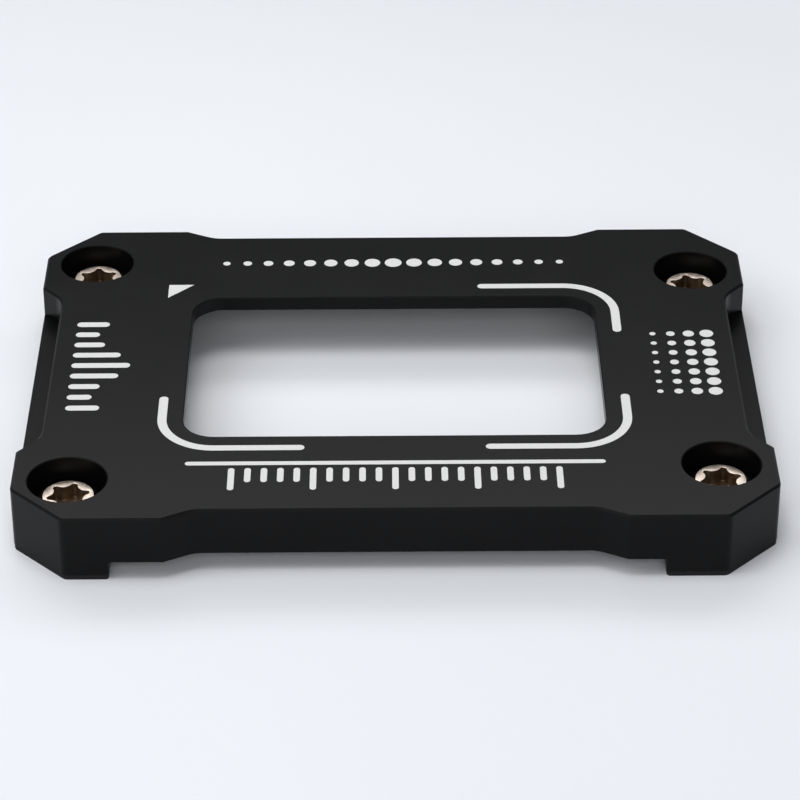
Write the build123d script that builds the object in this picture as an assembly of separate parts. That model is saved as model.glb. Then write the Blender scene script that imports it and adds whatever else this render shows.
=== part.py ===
"""CPU socket retention frame: a milled aluminium frame, its four screws and its foot pads.

Millimetres, +Z up. X runs along the long side and Y along the short side. The origin lies on the
plane that the pads stand on, under the middle of the window, and the frame is built outwards from
there: upper pocket and its lip, lower pocket, screw holes, then the outside.
"""
import os
from math import copysign, cos, pi, sin, sqrt

from build123d import *

# Window and pockets
package_length = 45.0  # of what the upper pocket takes
package_width = 37.5
package_clearance = 0.25  # all round, in the upper pocket
corner_relief = 1.0  # radius of the round relief in each corner of the upper pocket
lip_reach_x = 2.95  # how far the pressing lip reaches in over the upper pocket's ends
lip_reach_y = 6.4  # and over its long sides
window_radius = 3.0
socket_border = 1.7  # how much wider the lower pocket is, all round
socket_radius = 1.5

# Heights
pad_thickness = 0.5
rail_gap = 1.9  # pads' plane to the underside of the rails
socket_roof = 3.2  # pads' plane to the roof of the lower pocket
package_depth = 2.0  # depth of the upper pocket above that roof
lip_thickness = 1.4
notch_height = 3.1  # top face to the floor of the end notches
bore_depth = 3.9  # top face to the seat of a screw's head

# Outside of the frame
rail_wall = 4.05  # wall of the long rails, outside the lower pocket
block_proud = 1.4  # how far the corner blocks stand out from the rails
block_length = 14.0
blend_run = 2.8  # length of the slope from block to rail
blend_radius = 3.0
corner_cut = 5.0  # legs of the 45 degree corner cuts
corner_round = 0.9
top_break = 0.2
rim_break = 0.1  # round the window and the screw holes
notch_mouth = 29.7
notch_depth = 2.1
notch_slope = 2.35  # how much the notch narrows at each end, from its mouth to its wall
notch_radius = 3.0

# Screw holes and feet
hole_web = 5.45  # lower pocket to a screw's axis, along X
hole_end = 5.1  # screw's axis to the frame's end
hole_side_left = 6.5  # screw's axis to the frame's side, at the left end
hole_side_right = 8.5  # and at the right end, where the screws stand closer together
foot_reach = 4.65  # how far a foot runs inwards past its screw's axis, along Y
left_foot_step = 1.5  # how far the left feet stand back from the lower pocket
foot_round = 0.4
pad_inset = 0.05

# Screws
thread_radius = 2.0
thread_depth = 0.25  # from the thread's outside to the plain neck above it
thread_clearance = 0.25  # round the thread in its hole
screw_reach = 3.3  # how far a screw goes below the pads
tip_bevel = 0.25
head_radius = 3.05
head_height = 2.2
head_bevel = 0.68  # round the flat crown
head_clearance = 0.6  # round the head in its counterbore
recess_radius = 1.97  # to the points of the six-lobe recess
recess_flute = 0.55  # how far the flutes stand in from the points
recess_point_radius = 0.31
recess_depth = 1.5

# Places that follow from these sizes
pocket_x = package_length / 2 + package_clearance
pocket_y = package_width / 2 + package_clearance
socket_x = pocket_x + socket_border
socket_y = pocket_y + socket_border
hole_x = socket_x + hole_web
end_x = hole_x + hole_end
rail_y = socket_y + rail_wall
side_y = rail_y + block_proud
hole_y_left = side_y - hole_side_left
hole_y_right = side_y - hole_side_right
lip_bottom = socket_roof + package_depth
top_z = lip_bottom + lip_thickness
seat_z = top_z - bore_depth
hole_radius = thread_radius + thread_clearance
bore_radius = head_radius + head_clearance

corners = {
    "front_left": (-hole_x, -hole_y_left),
    "front_right": (hole_x, -hole_y_right),
    "rear_left": (-hole_x, hole_y_left),
    "rear_right": (hole_x, hole_y_right),
}


def outline():
    """Plan of the frame: corner blocks with cut corners, sloping back to the long rails."""
    block_x = end_x - block_length
    edge = FilletPolyline(
        (end_x, 0), (end_x, side_y - corner_cut), (end_x - corner_cut, side_y),
        (block_x, side_y), (block_x - blend_run, rail_y), (0, rail_y),
        radius=[corner_round, corner_round, 0, blend_radius],
    )
    quarter = make_face(edge + Polyline((0, rail_y), (0, 0), (end_x, 0)))
    half = quarter + mirror(quarter, about=Plane.YZ)
    return half + mirror(half, about=Plane.XZ)


def block(half_x, half_y, radius, base, height):
    """A block with rounded upright corners, centred on the window's axis."""
    return Pos(0, 0, base) * extrude(RectangleRounded(2 * half_x, 2 * half_y, radius), height)


def end_notch():
    """Cutter for the notch in the top of the right-hand end, with sloping end walls."""
    mouth_y = notch_mouth / 2
    wall_x, wall_y = end_x - notch_depth, mouth_y - notch_slope
    wall = FilletPolyline(
        (end_x, -mouth_y), (wall_x, -wall_y), (wall_x, wall_y), (end_x, mouth_y), radius=notch_radius)
    clear_x = end_x + notch_depth
    open_side = Polyline((end_x, mouth_y), (clear_x, mouth_y), (clear_x, -mouth_y), (end_x, -mouth_y))
    return Pos(0, 0, top_z - notch_height) * extrude(make_face(wall + open_side), notch_height)


def foot_plan(place):
    """Plan of a corner foot: from beside the lower pocket, past its screw and out to the outline."""
    x, y = place
    inner_x = socket_x + left_foot_step if x < 0 else socket_x
    inner_y = abs(y) - foot_reach
    middle = Pos(copysign((inner_x + end_x) / 2, x), copysign((inner_y + side_y) / 2, y))
    corner = middle * RectangleRounded(end_x - inner_x, side_y - inner_y, foot_round)
    return (outline() & corner) - Pos(x, y) * Circle(hole_radius)


def package_plan():
    """Plan of the upper pocket: a rectangle with a round relief in each corner."""
    reliefs = GridLocations(2 * pocket_x, 2 * pocket_y, 2, 2) * Circle(corner_relief)
    return Rectangle(2 * pocket_x, 2 * pocket_y) + reliefs


def frame():
    """The milled frame: plate and feet, less notches, pockets, window and screw holes."""
    body = Pos(0, 0, rail_gap) * extrude(outline(), top_z - rail_gap)
    notch = end_notch()
    body -= notch + mirror(notch, about=Plane.YZ)
    body = chamfer(body.faces().sort_by(Axis.Z)[-1].outer_wire().edges(), top_break)

    for place in corners.values():
        body += Pos(0, 0, pad_thickness) * extrude(foot_plan(place), rail_gap - pad_thickness)

    body -= block(socket_x, socket_y, socket_radius, 0, socket_roof)
    body -= Pos(0, 0, socket_roof) * extrude(package_plan(), package_depth)
    body -= block(pocket_x - lip_reach_x, pocket_y - lip_reach_y, window_radius, lip_bottom, lip_thickness)

    for x, y in corners.values():
        body -= Pos(x, y, rail_gap) * extrude(Circle(hole_radius), seat_z - rail_gap)
        body -= Pos(x, y, seat_z) * extrude(Circle(bore_radius), bore_depth)
    return chamfer(body.faces().sort_by(Axis.Z)[-1].inner_wires().edges(), rim_break)


def six_lobe_recess():
    """Cutter for the drive recess: six round points, with flutes that run smoothly into them."""
    point_at = recess_radius - recess_point_radius
    waist = recess_radius - recess_flute
    flute_radius = (point_at**2 + waist**2 - sqrt(3) * point_at * waist - recess_point_radius**2) / (
        2 * recess_point_radius - 2 * waist + sqrt(3) * point_at)

    def polar(radius, turn):
        return Vector(radius * cos(turn), radius * sin(turn))

    def join(point_turn, flute_turn):
        point, flute = polar(point_at, point_turn), polar(waist + flute_radius, flute_turn)
        return point + (flute - point).normalized() * recess_point_radius

    step = pi / 6
    wall = Curve()
    for turn in [2 * step * i for i in range(6)]:
        before, after = join(turn, turn - step), join(turn, turn + step)
        wall += ThreePointArc(before, polar(recess_radius, turn), after)
        wall += ThreePointArc(after, polar(waist, turn + step), join(turn + 2 * step, turn + step))
    return extrude(make_face(wall), recess_depth)


def screw():
    """A six-lobe screw: bevelled head, plain neck through the frame, and the threaded end's outside."""
    head_top = seat_z + head_height
    neck_radius = thread_radius - thread_depth
    tip_z = -screw_reach
    half_section = Polyline(
        (0, tip_z), (thread_radius - tip_bevel, tip_z), (thread_radius, tip_z + tip_bevel),
        (thread_radius, 0), (neck_radius, thread_depth), (neck_radius, seat_z), (head_radius, seat_z),
        (head_radius, head_top - head_bevel), (head_radius - head_bevel, head_top), (0, head_top),
        close=True,
    )
    turned = revolve(make_face(Plane.XZ * half_section), Axis.Z)
    return turned - Pos(0, 0, head_top - recess_depth) * six_lobe_recess()


def pad(place):
    """A self-adhesive insulating pad, cut a little smaller than the foot it is stuck to."""
    return extrude(offset(foot_plan(place), -pad_inset), pad_thickness)


os.makedirs("parts", exist_ok=True)
export_step(frame(), "parts/frame.step")
for corner, place in corners.items():
    export_step(Pos(*place) * screw(), f"parts/screw_{corner}.step")
    export_step(pad(place), f"parts/pad_{corner}.step")
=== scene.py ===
"""Looks of a CPU socket retention frame: black anodised aluminium, white marking, nickel screws.

Metres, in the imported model's own frame: X along the long side, Y towards the rear, Z up, and the
foot pads stand at Z = 0. Each section dresses or makes one piece, in the order it is put together.
"""
import math

import bmesh
import bpy
from mathutils import Matrix, Vector


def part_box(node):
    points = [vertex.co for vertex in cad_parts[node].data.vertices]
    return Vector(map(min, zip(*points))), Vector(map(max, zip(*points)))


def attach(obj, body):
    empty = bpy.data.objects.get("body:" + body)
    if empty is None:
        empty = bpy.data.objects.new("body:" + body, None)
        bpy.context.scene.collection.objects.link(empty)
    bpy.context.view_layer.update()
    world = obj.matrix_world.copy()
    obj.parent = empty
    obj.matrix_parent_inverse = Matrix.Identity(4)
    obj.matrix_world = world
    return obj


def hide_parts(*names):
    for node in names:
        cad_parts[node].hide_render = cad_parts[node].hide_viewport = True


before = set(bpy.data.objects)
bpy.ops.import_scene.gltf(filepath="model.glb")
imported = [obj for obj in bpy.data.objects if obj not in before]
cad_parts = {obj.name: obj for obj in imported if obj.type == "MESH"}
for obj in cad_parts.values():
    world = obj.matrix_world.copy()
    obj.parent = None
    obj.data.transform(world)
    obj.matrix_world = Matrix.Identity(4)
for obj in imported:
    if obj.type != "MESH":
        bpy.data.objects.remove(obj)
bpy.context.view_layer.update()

# The frame
# One piece of aluminium plate, milled from both sides: pockets and feet from below, window, notches
# and counterbores from above. It is bead-blasted to an even satin grain, then anodised black.
mm = 0.001
anodise_deep = (0.0028, 0.0029, 0.0031, 1)
anodise_pale = (0.0046, 0.0047, 0.0049, 1)
# painted shade: the counterbores are coloured a deeper black than the rest of the frame
bore_painted_shade = (0.0016, 0.0016, 0.0017, 1)
anodise_gloss = 0.10
satin_smooth, satin_rough = 0.28, 0.36
blast_grain = 0.16 * mm
blast_depth, blast_strength = 0.012 * mm, 0.35
dye_cloud = 7 * mm
cloud_share = 0.45  # of the dye's clouds in the tone, the rest being grain
turned_ring = 0.30 * mm
ring_smooth, ring_rough = 0.25, 0.4
edge_matt = 0.5  # roughness of the broken edges, which the blast bites more
edge_upward, edge_slack = math.sqrt(0.5), 0.1  # how far such an edge faces up
bore_reach = 3.66 * mm  # just outside the counterbores' walls
noise_low, noise_high = 0.3, 0.7  # nearly all of a noise lies between them


def new_material(name):
    """A material with its node tree and its shader."""
    material = bpy.data.materials.new(name)
    material.use_nodes = True
    return material, material.node_tree, material.node_tree.nodes["Principled BSDF"]


def add(tree, kind, inputs=None, **settings):
    """Adds a node. Its inputs, by name or place, are values or other nodes' sockets."""
    made = tree.nodes.new(kind)
    for key, value in settings.items():
        setattr(made, key, value)
    for key, value in (inputs or {}).items():
        if isinstance(value, bpy.types.NodeSocket):
            tree.links.new(value, made.inputs[key])
        else:
            made.inputs[key].default_value = value
    return made


def noise(tree, place, size, detail=2.0):
    """Noise whose features are about that size, as a number round one half."""
    made = add(tree, "ShaderNodeTexNoise", {"Vector": place, "Scale": 1 / size, "Detail": detail})
    return made.outputs["Fac"]


def spread(tree, value, low, high):
    """A noise value stretched to run between two numbers."""
    made = add(tree, "ShaderNodeMapRange", {
        "Value": value, "From Min": noise_low, "From Max": noise_high,
        "To Min": low, "To Max": high})
    return made.outputs["Result"]


def math_node(tree, operation, first, second=0.0):
    """One sum of two numbers."""
    return add(tree, "ShaderNodeMath", {0: first, 1: second}, operation=operation).outputs[0]


def mix_number(tree, share, first, second):
    """A number between two others."""
    made = add(tree, "ShaderNodeMix", {0: share, 2: first, 3: second}, data_type="FLOAT")
    return made.outputs[0]


def mix_colour(tree, share, first, second):
    """A colour between two others."""
    made = add(tree, "ShaderNodeMix", {0: share, 6: first, 7: second}, data_type="RGBA")
    return made.outputs[2]


def raise_grain(tree, shader, height, strength, depth):
    """Raises a fine relief on a surface, after a noise."""
    bump = add(tree, "ShaderNodeBump", {"Strength": strength, "Distance": depth, "Height": height})
    tree.links.new(bump.outputs[0], shader.inputs["Normal"])


def middle(node):
    """Centre of a CAD node's box."""
    low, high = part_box(node)
    return (low + high) / 2


def anodised_aluminium():
    """Satin black with a blast grain, turned rings on the counterbores' walls, and painted shade in
    them.
    """
    material, tree, shader = new_material("black_anodised_aluminium")
    surface = add(tree, "ShaderNodeTexCoord").outputs
    place = surface["Object"]
    grain = noise(tree, place, blast_grain, detail=3.0)
    cloud = noise(tree, place, dye_cloud)

    axes = add(tree, "ShaderNodeSeparateXYZ", {0: place}).outputs
    left, right = middle("screw_front_left"), middle("screw_front_right")
    at_right = math_node(tree, "GREATER_THAN", axes["X"])
    hole_y = add(tree, "ShaderNodeMapRange", {
        "Value": at_right, "To Min": -left.y, "To Max": -right.y}).outputs["Result"]
    across = math_node(tree, "SUBTRACT", math_node(tree, "ABSOLUTE", axes["X"]), right.x)
    along = math_node(tree, "SUBTRACT", math_node(tree, "ABSOLUTE", axes["Y"]), hole_y)
    from_axis = math_node(tree, "SQRT", math_node(
        tree, "ADD", math_node(tree, "POWER", across, 2.0), math_node(tree, "POWER", along, 2.0)))
    in_bore = math_node(tree, "LESS_THAN", from_axis, bore_reach)
    height = add(tree, "ShaderNodeCombineXYZ", {"Z": axes["Z"]}).outputs[0]
    rings = noise(tree, height, turned_ring, detail=4.0)

    tone = mix_number(tree, cloud_share, grain, cloud)
    faces = mix_colour(tree, spread(tree, tone, 0.0, 1.0), anodise_deep, anodise_pale)
    # the counterbores take the deeper black, which is painted shade in them
    tree.links.new(mix_colour(tree, in_bore, faces, bore_painted_shade), shader.inputs["Base Color"])

    blasted = spread(tree, tone, satin_smooth, satin_rough)
    turned = spread(tree, rings, ring_smooth, ring_rough)
    upward = add(tree, "ShaderNodeSeparateXYZ", {0: surface["Normal"]}).outputs["Z"]
    on_edge = add(tree, "ShaderNodeMath", {
        0: upward, 1: edge_upward, 2: edge_slack}, operation="COMPARE").outputs[0]
    satin = mix_number(tree, on_edge, mix_number(tree, in_bore, blasted, turned), edge_matt)
    tree.links.new(satin, shader.inputs["Roughness"])
    raise_grain(tree, shader, mix_number(tree, in_bore, grain, rings), blast_strength, blast_depth)
    shader.inputs["Specular IOR Level"].default_value = anodise_gloss
    return material


def dress(piece, *materials):
    """Gives a piece its materials, in place of any that it has."""
    if piece.data.materials:
        piece.data.materials.clear()
    for material in materials:
        piece.data.materials.append(material)


dress(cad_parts["frame"], anodised_aluminium())

# The foot pads
# Thin black insulating sheet with adhesive on one side, cut to the feet and stuck under them, so
# that the metal touches nothing that it stands on.
corners = ["front_left", "front_right", "rear_left", "rear_right"]
pad_black = (0.005, 0.005, 0.0055, 1)
pad_grey = (0.010, 0.010, 0.0105, 1)
pad_gloss = 0.3
pad_smooth, pad_rough = 0.72, 0.86
pad_grain = 0.25 * mm
pad_depth, pad_strength = 0.02 * mm, 0.4


def insulating_sheet():
    """Matt black sheet with a soft leathery grain."""
    material, tree, shader = new_material("insulating_sheet")
    place = add(tree, "ShaderNodeTexCoord").outputs["Object"]
    grain = noise(tree, place, pad_grain, detail=4.0)
    colour = mix_colour(tree, spread(tree, grain, 0.0, 1.0), pad_black, pad_grey)
    tree.links.new(colour, shader.inputs["Base Color"])
    tree.links.new(spread(tree, grain, pad_smooth, pad_rough), shader.inputs["Roughness"])
    raise_grain(tree, shader, grain, pad_strength, pad_depth)
    shader.inputs["Specular IOR Level"].default_value = pad_gloss
    return material


pad_sheet = insulating_sheet()
for corner in corners:
    dress(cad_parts["pad_" + corner], pad_sheet)

# The white marking
# A thin matt white print on the blasted top face: rounded brackets round the window with the usual
# first-pin triangle in place of one, a scale, a row of dots, level bars and a field of dots.
top_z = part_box("frame")[1].z
ink_height = 0.014 * mm
ink_root = 0.006 * mm  # how far the ink sits into the grain
stroke = 0.85 * mm
thin_stroke = 0.7 * stroke
window_x, window_y = 19.8 * mm, 12.6 * mm
bracket_gap = 2.0 * mm
bracket_round = 5.0 * mm
bracket_run_x, bracket_run_y = 13.0 * mm, 8.5 * mm
bend_steps, end_steps, dot_points = 16, 8, 24  # of a bracket, of a line's round end, of a dot
pin_leg = 2.5 * mm
pin_out = 0.6 * mm  # how far the triangle stands out from the brackets' line
ink_white = (0.70, 0.70, 0.69, 1)
ink_thin = (0.54, 0.54, 0.54, 1)
thin_share = 0.55  # of thin ink in the barest specks
ink_smooth, ink_rough = 0.55, 0.7
ink_speck = 0.12 * mm
ink_depth, ink_strength = 0.01 * mm, 0.3


def arc(centre, radius, start, sweep, steps):
    """Points along a round stretch, with angles in degrees."""
    turns = [math.radians(start + sweep * i / steps) for i in range(steps + 1)]
    x, y = centre
    return [Vector((x + radius * math.cos(t), y + radius * math.sin(t))) for t in turns]


def disc(centre, diameter):
    """Outline of a round dot."""
    return arc(centre, diameter / 2, 0, 360 - 360 / dot_points, dot_points - 1)


def round_ended(path, width):
    """Outline of a line of that width along a path, with round ends."""
    half = width / 2
    sides = []
    for i in range(len(path)):
        ahead = (path[min(i + 1, len(path) - 1)] - path[max(i - 1, 0)]).normalized()
        sides.append(Vector((-ahead.y, ahead.x)) * half)
    turn = math.degrees(math.atan2(sides[-1].y, sides[-1].x))
    back = math.degrees(math.atan2(-sides[0].y, -sides[0].x))
    far_end = arc(path[-1], half, turn, -180, end_steps)
    near_end = arc(path[0], half, back, -180, end_steps)
    left = [p + s for p, s in zip(path[1:-1], sides[1:-1])]
    right = [p - s for p, s in zip(path[1:-1], sides[1:-1])]
    return left + far_end + right[::-1] + near_end


def bracket(side_x, side_y):
    """Centre line of a bracket round one corner of the window."""
    x, y = window_x + bracket_gap, window_y + bracket_gap
    bend = arc((x - bracket_round, y - bracket_round), bracket_round, 0, 90, bend_steps)
    line = [Vector((x, y - bracket_run_y)), *bend, Vector((x - bracket_run_x, y))]
    return [Vector((p.x * side_x, p.y * side_y)) for p in line]


def marking_outlines():
    """Every outline of the print, in plan."""
    outlines = [round_ended(bracket(*sides), stroke) for sides in [(1, 1), (1, -1), (-1, -1)]]
    pin_x, pin_y = -window_x - bracket_gap - pin_out, window_y + bracket_gap + pin_out
    outlines.append([
        Vector((pin_x, pin_y)), Vector((pin_x, pin_y - pin_leg)), Vector((pin_x + pin_leg, pin_y))])

    tick_pitch, tick_y, ticks_aside = 1.5 * mm, -18.3 * mm, 10
    long_tick, short_tick, long_every = 3.0 * mm, 1.7 * mm, 5
    for i in range(-ticks_aside, ticks_aside + 1):
        x, end_y = i * tick_pitch, tick_y - (short_tick if i % long_every else long_tick)
        outlines.append(round_ended([Vector((x, tick_y)), Vector((x, end_y))], thin_stroke))
    rule_x, rule_y = 19.0 * mm, -17.2 * mm
    outlines.append(round_ended([Vector((-rule_x, rule_y)), Vector((rule_x, rule_y))], thin_stroke))

    dot_pitch, dots_y, dots_aside = 2.1 * mm, 19.4 * mm, 8
    largest_dot, dot_step = 1.7, 0.12  # in millimetres
    for i in range(-dots_aside, dots_aside + 1):
        outlines.append(disc((i * dot_pitch, dots_y), (largest_dot - dot_step * abs(i)) * mm))

    bar_pitch, bar_x, bars_aside = 1.9 * mm, -30.6 * mm, 4
    shortest_bar, bar_swing, bar_step = 1.2, 2.6, 0.25  # in millimetres
    swing_turn = 1.15  # from bar to bar
    for i in range(-bars_aside, bars_aside + 1):
        swing = bar_swing * (1 + math.cos(swing_turn * i)) / 2
        length = (shortest_bar + swing + bar_step * (bars_aside - abs(i))) * mm
        y = i * bar_pitch
        outlines.append(round_ended([Vector((bar_x, y)), Vector((bar_x + length, y))], stroke))

    field_pitch, field_x = 1.75 * mm, 25.2 * mm
    field_columns, rows_aside = 4, 3
    smallest_dot, column_step = 0.6, 0.25  # in millimetres
    for column in range(field_columns):
        for row in range(-rows_aside, rows_aside + 1):
            place = (field_x + column * field_pitch, row * field_pitch)
            outlines.append(disc(place, (smallest_dot + column_step * column) * mm))
    return outlines


def print_mesh(outlines):
    """Lays the outlines on the top face as thin solid ink."""
    mesh = bmesh.new()
    for outline in outlines:
        low = [mesh.verts.new((p.x, p.y, top_z - ink_root)) for p in outline]
        high = [mesh.verts.new((p.x, p.y, top_z + ink_height)) for p in outline]
        for i in range(len(outline)):
            j = (i + 1) % len(outline)
            mesh.faces.new((low[i], low[j], high[j], high[i]))
        mesh.faces.new(high)
        mesh.faces.new(low[::-1])
    bmesh.ops.recalc_face_normals(mesh, faces=mesh.faces)
    bmesh.ops.triangulate(mesh, faces=[f for f in mesh.faces if len(f.verts) > 4])
    made = bpy.data.meshes.new("white_marking")
    mesh.to_mesh(made)
    mesh.free()
    return made


def white_ink():
    """Matt white ink, thinner in specks where the blasted face shows through."""
    material, tree, shader = new_material("white_ink")
    place = add(tree, "ShaderNodeTexCoord").outputs["Object"]
    speck = noise(tree, place, ink_speck, detail=3.0)
    colour = mix_colour(tree, spread(tree, speck, thin_share, 0.0), ink_white, ink_thin)
    tree.links.new(colour, shader.inputs["Base Color"])
    tree.links.new(spread(tree, speck, ink_smooth, ink_rough), shader.inputs["Roughness"])
    raise_grain(tree, shader, speck, ink_strength, ink_depth)
    return material


def show(name, mesh, *materials):
    """Puts a new piece in the scene, on the part's one body."""
    piece = bpy.data.objects.new(name, mesh)
    bpy.context.scene.collection.objects.link(piece)
    dress(piece, *materials)
    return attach(piece, "root")


marking = show("white_marking", print_mesh(marking_outlines()), white_ink())

# The four screws
# Cold-formed M4 steel screws with a six-lobe recess and a rolled thread, plated with bright nickel.
# They drop into the counterbores and are driven home with a key. Their recess has painted brown
# shade.
head_radius, head_height, head_bevel = 3.05 * mm, 2.2 * mm, 0.68 * mm
edge_round = 0.07 * mm
crown_dish = 0.03 * mm
neck_radius, thread_radius, thread_root = 1.75 * mm, 2.0 * mm, 1.57 * mm
thread_pitch = 0.7 * mm
thread_flat, thread_flank = 0.22, 0.66  # of half a pitch: along the root, then up the slope
thread_rows = 10  # rings of points to a pitch
thread_fade = 0.35 * mm
tip_bevel = 0.25 * mm
recess_radius, recess_waist, recess_point = 1.97 * mm, 1.42 * mm, 0.31 * mm
recess_depth = 1.5 * mm
recess_edge = 0.03 * mm
recess_steps = 10  # points to each of its arcs
recess_turns = {"front_left": 15, "front_right": 17, "rear_left": 32, "rear_right": 39}
nickel_bright = (0.84, 0.73, 0.63, 1)
nickel_warm = (0.76, 0.65, 0.55, 1)
nickel_scuffed = (0.60, 0.51, 0.44, 1)
# painted shade with a warm painted reflection inside the recess, in place of the nickel's own
# colour
recess_shade_deep = (0.14, 0.103, 0.070, 1)
recess_shade_warm = (0.32, 0.235, 0.160, 1)
tarnish_size, mark_size = 0.9 * mm, 0.15 * mm
plate_depth, plate_strength = 0.01 * mm, 0.25
crown_finish, side_finish, recess_finish = range(3)  # places in a screw's list of materials
sharp_from = math.radians(32)


def six_lobes():
    """Outline of the recess: six round points, with flutes that run smoothly into them."""
    point_at = recess_radius - recess_point
    flute = (
        point_at**2 + recess_waist**2 - math.sqrt(3) * point_at * recess_waist - recess_point**2
    ) / (2 * recess_point - 2 * recess_waist + math.sqrt(3) * point_at)
    flute_at = recess_waist + flute
    offset = Vector((flute_at * math.cos(math.pi / 6) - point_at, flute_at / 2))
    lean = math.degrees(math.atan2(offset.y, offset.x))
    outline = []
    for lobe in range(6):
        turn = 60 * lobe
        point = Matrix.Rotation(math.radians(turn), 2) @ Vector((point_at, 0))
        hollow = Matrix.Rotation(math.radians(turn + 30), 2) @ Vector((flute_at, 0))
        outline += arc(point, recess_point, turn - lean, 2 * lean, recess_steps)[:-1]
        outline += arc(hollow, flute, turn + lean + 180, 60 - 2 * lean, recess_steps)[:-1]
    return outline


def thread_reach(z, turn, tip_z):
    """Radius of the rolled thread at a height and an angle, run out at both ends."""
    wave = abs(2 * ((z / thread_pitch - turn / (2 * math.pi)) % 1) - 1)
    ridge = min(max((wave - thread_flat) / thread_flank, 0), 1)
    radius = thread_root + (thread_radius - thread_root) * ridge
    run_out = min(max(-z / thread_fade, 0), 1)
    radius = neck_radius + (radius - neck_radius) * run_out
    return min(radius, thread_radius - tip_bevel + (z - tip_z))


def screw_rows(tip_z, seat_z):
    """Rings of points from the tip up over the head and down into the recess."""
    outline = six_lobes()
    turns = [math.atan2(p.y, p.x) for p in outline]

    def ring(radius, z):
        """A round row."""
        return [Vector((radius * math.cos(t), radius * math.sin(t), z)) for t in turns]

    rows = []
    count = round(-tip_z / thread_pitch * thread_rows)
    for i in range(count + 1):
        z = tip_z * (1 - i / count)
        rows.append([
            Vector((math.cos(t), math.sin(t), 0)) * thread_reach(z, t, tip_z) + Vector((0, 0, z))
            for t in turns])
    head_top = seat_z + head_height
    shoulder_z, crown_radius = head_top - head_bevel, head_radius - head_bevel
    half = edge_round / math.sqrt(2)
    rows += [
        ring(neck_radius, seat_z - edge_round), ring(neck_radius + edge_round, seat_z),
        ring(head_radius - edge_round, seat_z), ring(head_radius, seat_z + edge_round),
        ring(head_radius, shoulder_z - edge_round), ring(head_radius - half, shoulder_z + half),
        ring(crown_radius + half, head_top - half), ring(crown_radius - edge_round, head_top)]

    def lobes(grow, z):
        """A row along the recess's outline, or that far outside it."""
        return [Vector((*(p * (1 + grow / p.length)), z)) for p in outline]

    lip_z, floor_z = head_top - crown_dish, head_top - recess_depth
    crown_row = len(rows) - 1
    rows += [lobes(recess_edge, lip_z), lobes(0, lip_z - recess_edge)]
    recess_row = len(rows) - 1
    rows += [lobes(0, floor_z + recess_edge), lobes(-recess_edge, floor_z)]
    return rows, crown_row, recess_row


def screw_mesh(corner):
    """A screw's mesh, closed at the tip and at the recess's floor."""
    node = "screw_" + corner
    low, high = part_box(node)
    centre = middle(node)
    rows, crown_row, recess_row = screw_rows(low.z, high.z - head_height)
    turn = Matrix.Rotation(math.radians(recess_turns[corner]), 3, "Z")
    shift = Vector((centre.x, centre.y, 0))
    mesh = bmesh.new()
    rings = [[mesh.verts.new(turn @ p + shift) for p in row] for row in rows]
    for i, (below, above) in enumerate(zip(rings, rings[1:])):
        for j in range(len(below)):
            k = (j + 1) % len(below)
            face = mesh.faces.new((below[j], below[k], above[k], above[j]))
            inside = recess_finish if i >= recess_row else crown_finish
            face.material_index = inside if i >= crown_row else side_finish
    tip = (rings[0][::-1], rows[0][0].z, side_finish)
    recess_floor = (rings[-1], rows[-1][0].z, recess_finish)
    for ring, z, finish in [tip, recess_floor]:
        hub = mesh.verts.new(shift + Vector((0, 0, z)))
        for j in range(len(ring)):
            face = mesh.faces.new((ring[j], ring[(j + 1) % len(ring)], hub))
            face.material_index = finish
    made = bpy.data.meshes.new("nickel_screw_" + corner)
    mesh.to_mesh(made)
    mesh.free()
    made.shade_smooth()
    made.set_sharp_from_angle(angle=sharp_from)
    return made


def nickel(name, bright, warm, smooth, rough):
    """Nickel plate with faint draw marks and a little colour in it."""
    material, tree, shader = new_material(name)
    place = add(tree, "ShaderNodeTexCoord").outputs["Object"]
    tarnish = noise(tree, place, tarnish_size, detail=3.0)
    marks = noise(tree, place, mark_size)
    colour = mix_colour(tree, spread(tree, tarnish, 0.0, 1.0), bright, warm)
    tree.links.new(colour, shader.inputs["Base Color"])
    tree.links.new(spread(tree, marks, smooth, rough), shader.inputs["Roughness"])
    raise_grain(tree, shader, tarnish, plate_strength, plate_depth)
    shader.inputs["Metallic"].default_value = 1.0
    return material


satin_crown = nickel("satin_crown", nickel_bright, nickel_scuffed, smooth=0.36, rough=0.46)
bright_side = nickel("bright_side", nickel_bright, nickel_warm, smooth=0.16, rough=0.22)
# the recess's colours are painted shade with a warm painted reflection, not the plating's own
painted_shade_recess = nickel("painted_shade_recess", recess_shade_deep, recess_shade_warm, smooth=0.35, rough=0.5)
for corner in corners:
    screw = show(
        "nickel_screw_" + corner, screw_mesh(corner), satin_crown, bright_side, painted_shade_recess)
    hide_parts("screw_" + corner)

# The studio
# A plain pale floor under the pads, a pale surround, soft boxes above, behind, at the left and in
# front, and the camera at the photograph's place.
floor_half = 2.0
floor_pale = (0.80, 0.815, 0.845, 1)
floor_shade = (0.77, 0.785, 0.82, 1)
floor_cloud = 120 * mm
floor_rough, floor_gloss = 0.6, 0.2
lit_middle = (-0.12, -0.17, 0)  # of the lamps' light on the floor
lit_reach, unlit_reach = 0.30, 0.62
far_pale = 0.62  # what the floor shows of its own colour past the lamps' light
surround = (0.86, 0.89, 0.94, 1)
surround_light = 0.22  # from overhead
horizon_light = 0.45
horizon_pale = 0.80  # where the horizon itself shows
surround_rise = 0.20  # height at which the horizon has faded
white, warm_white, cool_white = (1.0, 1.0, 1.0), (1.0, 0.985, 0.965), (0.985, 0.99, 1.0)


def backdrop_rays(tree):
    """One for rays that show the backdrop, straight or reflected, and nought for the rest."""
    path = add(tree, "ShaderNodeLightPath").outputs
    mirrored = math_node(tree, "MAXIMUM", path["Is Glossy Ray"], path["Is Transmission Ray"])
    return math_node(tree, "MAXIMUM", path["Is Camera Ray"], mirrored)


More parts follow.
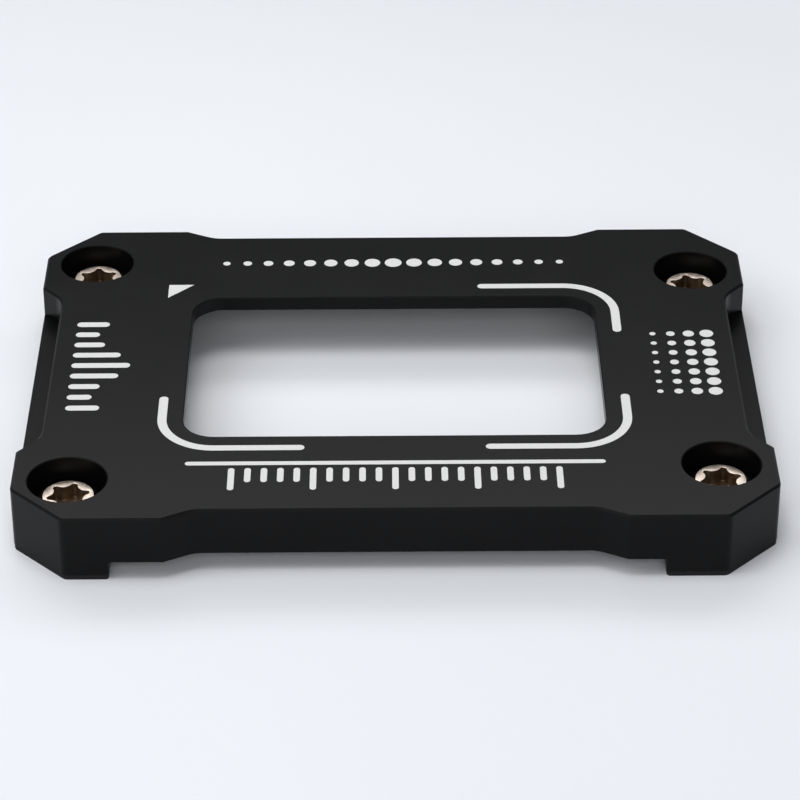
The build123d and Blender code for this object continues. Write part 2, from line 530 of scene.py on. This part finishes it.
def floor_paint():
    """Pale satin paint, as pale far away as under the lamps, and clear when seen from below."""
    material, tree, shader = new_material("pale_floor")
    place = add(tree, "ShaderNodeTexCoord").outputs["Object"]
    cloud = noise(tree, place, floor_cloud)
    colour = mix_colour(tree, spread(tree, cloud, 0.0, 1.0), floor_pale, floor_shade)
    tree.links.new(colour, shader.inputs["Base Color"])
    shader.inputs["Roughness"].default_value = floor_rough
    shader.inputs["Specular IOR Level"].default_value = floor_gloss

    away = add(tree, "ShaderNodeVectorMath", {
        0: place, 1: lit_middle}, operation="DISTANCE").outputs["Value"]
    unlit = add(tree, "ShaderNodeMapRange", {
        "Value": away, "From Min": lit_reach, "From Max": unlit_reach, "To Max": far_pale})
    shown = math_node(tree, "MULTIPLY", unlit.outputs["Result"], backdrop_rays(tree))
    tree.links.new(colour, shader.inputs["Emission Color"])
    tree.links.new(shown, shader.inputs["Emission Strength"])

    below = add(tree, "ShaderNodeNewGeometry").outputs["Backfacing"]
    clear = add(tree, "ShaderNodeBsdfTransparent").outputs[0]
    one_sided = add(tree, "ShaderNodeMixShader", {0: below, 1: shader.outputs[0], 2: clear})
    tree.links.new(one_sided.outputs[0], tree.nodes["Material Output"].inputs["Surface"])
    return material


floor_corners = [(-1, -1), (1, -1), (1, 1), (-1, 1)]
floor_mesh = bpy.data.meshes.new("floor")
floor_mesh.from_pydata(
    [(x * floor_half, y * floor_half, 0) for x, y in floor_corners], [], [(0, 1, 2, 3)])
floor = bpy.data.objects.new("floor", floor_mesh)
bpy.context.scene.collection.objects.link(floor)
dress(floor, floor_paint())

world = bpy.data.worlds.new("pale_surround")
world.use_nodes = True
bpy.context.scene.world = world
sky = world.node_tree.nodes["Background"]
sky.inputs["Color"].default_value = surround
outward = add(world.node_tree, "ShaderNodeTexCoord").outputs["Generated"]
rise = add(world.node_tree, "ShaderNodeSeparateXYZ", {0: outward}).outputs["Z"]
horizon = add(world.node_tree, "ShaderNodeMapRange", {
    "Value": backdrop_rays(world.node_tree), "To Min": horizon_light, "To Max": horizon_pale})
level = add(world.node_tree, "ShaderNodeMapRange", {
    "Value": rise, "From Max": surround_rise,
    "To Min": horizon.outputs["Result"], "To Max": surround_light})
world.node_tree.links.new(level.outputs["Result"], sky.inputs["Strength"])


def soft_light(name, place, aim, width, height, watts, colour):
    """A rectangular soft box that looks at a point and isn't seen itself."""
    lamp = bpy.data.lights.new(name, "AREA")
    lamp.shape = "RECTANGLE"
    lamp.size, lamp.size_y = width, height
    lamp.energy = watts
    lamp.color = colour
    box = bpy.data.objects.new(name, lamp)
    box.location = place
    box.rotation_euler = (Vector(aim) - Vector(place)).to_track_quat("-Z", "Y").to_euler()
    box.visible_camera = False
    bpy.context.scene.collection.objects.link(box)


soft_light("rear_box", place=(-0.05, 0.16, 0.173), aim=(-0.05, 0, 0.173),
           width=0.40, height=0.096, watts=0.30, colour=white)
soft_light("key_box", place=(-0.08, 0.27, 0.46), aim=(0, 0, 0),
           width=0.24, height=0.18, watts=0.25, colour=warm_white)
soft_light("top_box", place=(-0.04, -0.03, 0.5), aim=(0, 0, 0),
           width=0.24, height=0.24, watts=0.88, colour=white)
soft_light("left_box", place=(-0.40, -0.14, 0.46), aim=(0, 0, 0),
           width=0.40, height=0.40, watts=1.2, colour=cool_white)
soft_light("front_box", place=(0.0, -0.52, 0.31), aim=(0, 0, 0),
           width=0.56, height=0.24, watts=1.2, colour=white)

photo_size = 800
focal_pixels = 3284.4
camera_place = Vector((-0.865, -268.432, 172.730)) * mm
camera_pitch = math.radians(32.386)
camera_yaw = math.radians(0.300)
camera_roll = math.radians(-0.192)
lens = bpy.data.cameras.new("photo_camera")
lens.lens = focal_pixels / photo_size * lens.sensor_width
lens.clip_start = 0.01
camera = bpy.data.objects.new("photo_camera", lens)
ahead = Vector((
    math.sin(camera_yaw) * math.cos(camera_pitch),
    math.cos(camera_yaw) * math.cos(camera_pitch),
    -math.sin(camera_pitch)))
level_right = Vector((math.cos(camera_yaw), -math.sin(camera_yaw), 0))
level_up = level_right.cross(ahead)
right = math.cos(camera_roll) * level_right + math.sin(camera_roll) * level_up
up = math.cos(camera_roll) * level_up - math.sin(camera_roll) * level_right
turned = Matrix((right, up, -ahead)).transposed()
camera.matrix_world = Matrix.Translation(camera_place) @ turned.to_4x4()
bpy.context.scene.collection.objects.link(camera)
bpy.context.scene.camera = camera
bpy.context.scene.view_settings.view_transform = "Standard"
